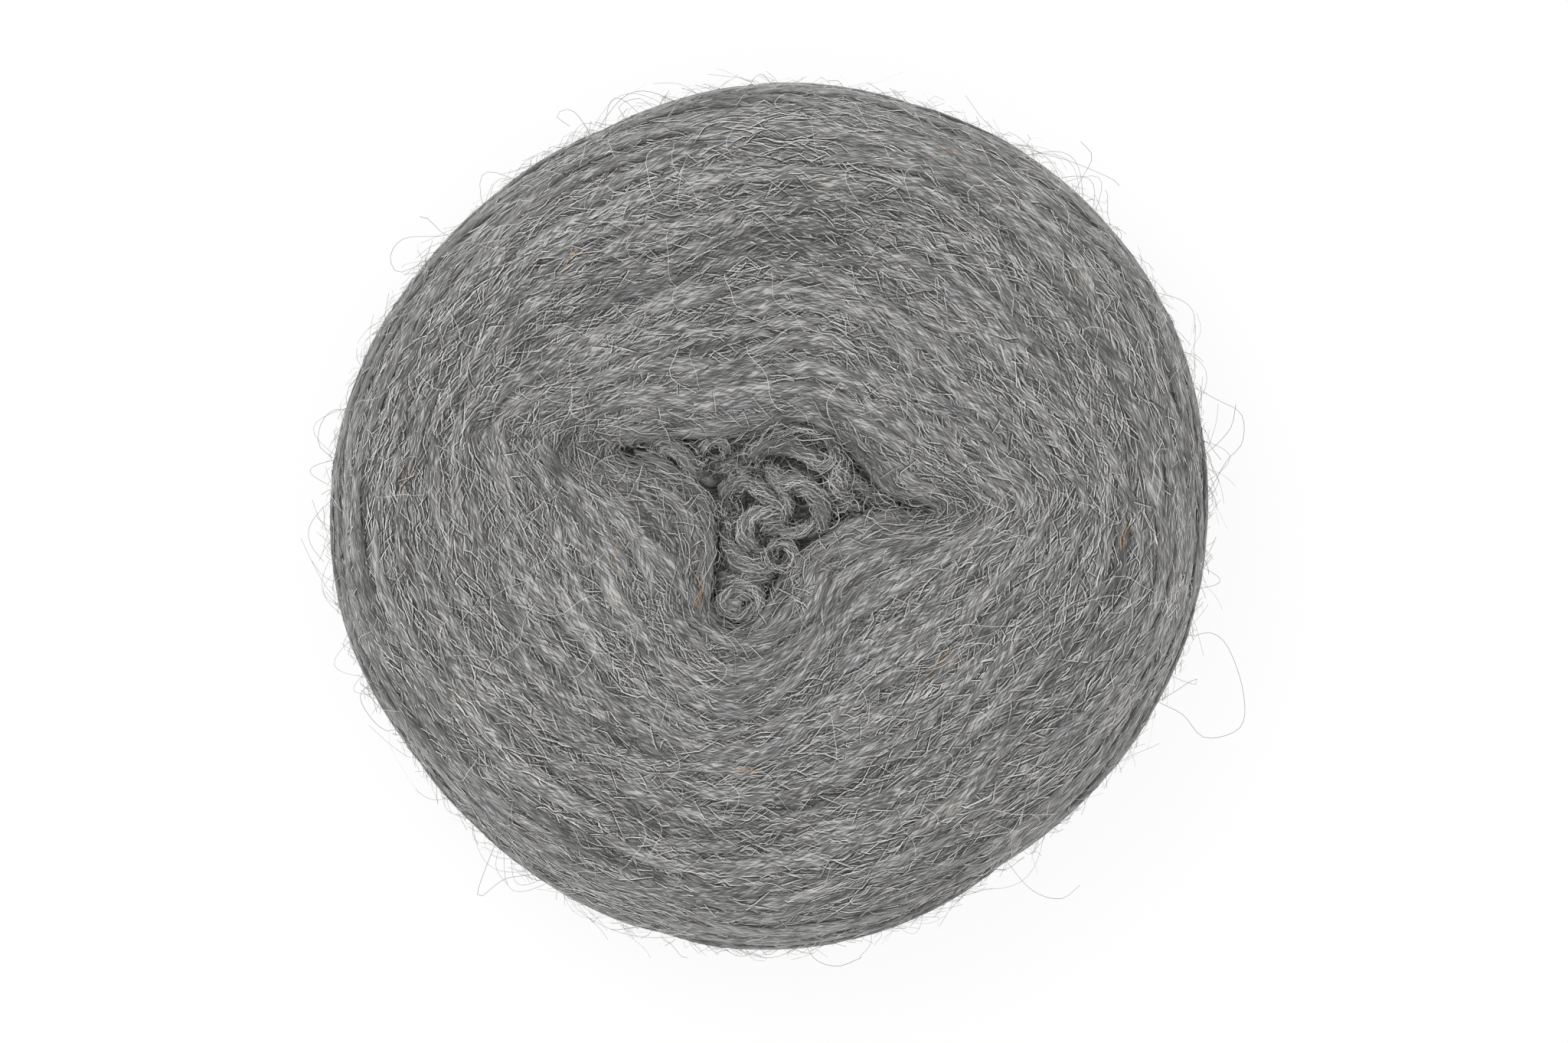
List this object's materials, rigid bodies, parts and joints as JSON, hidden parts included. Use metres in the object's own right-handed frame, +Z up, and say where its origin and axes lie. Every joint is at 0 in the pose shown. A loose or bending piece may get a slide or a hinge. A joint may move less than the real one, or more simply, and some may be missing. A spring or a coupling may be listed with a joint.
{
  "type": "yarn cake",
  "caption": "Flat round cake of unspun wool roving, standing on its base, with a collapsed slot in the top where the loose inner end lies in curls.",
  "frame": {"origin": "middle of the plan on the flat base that the cake stands on", "axes": "+Z up through the middle of the cake, +Y towards the long straight side of the slot, +X towards the slot's right corner"},
  "size_m": [0.1814, 0.1778, 0.0574],
  "materials": {
    "roving": "matt grey heather wool, unspun and fuzzy"
  },
  "bodies": {
    "root": {"wound_roving": "roving", "inner_end": "roving"}
  },
  "joints": []
}
